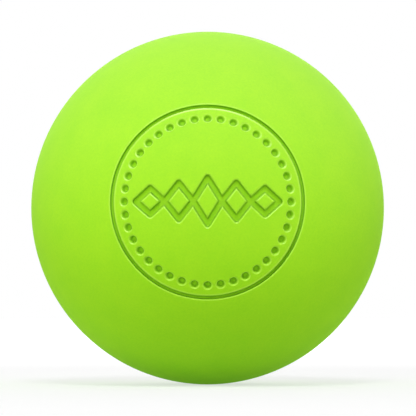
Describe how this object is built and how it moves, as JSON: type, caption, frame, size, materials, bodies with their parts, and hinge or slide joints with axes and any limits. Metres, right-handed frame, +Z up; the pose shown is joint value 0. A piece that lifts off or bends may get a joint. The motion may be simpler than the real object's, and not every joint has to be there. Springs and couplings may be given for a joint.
{
  "type": "lacrosse ball",
  "caption": "Lime-green solid rubber lacrosse ball: a rubber core in a bonded half-shell cover with a pressed-in ring panel, thrown and caught with a netted stick.",
  "frame": {"origin": "centre of the ball", "axes": "+Z up as pictured, +X to the viewer's right, -Y towards the viewer through the middle of the ring panel; the halves of the cover meet on the XZ plane"},
  "size_m": [0.0636, 0.0636, 0.0636],
  "materials": {
    "core_rubber": "matte",
    "cover_rubber": "satin"
  },
  "bodies": {
    "root": {"core": "core_rubber", "front_cover": "cover_rubber", "rear_cover": "cover_rubber"}
  },
  "joints": []
}
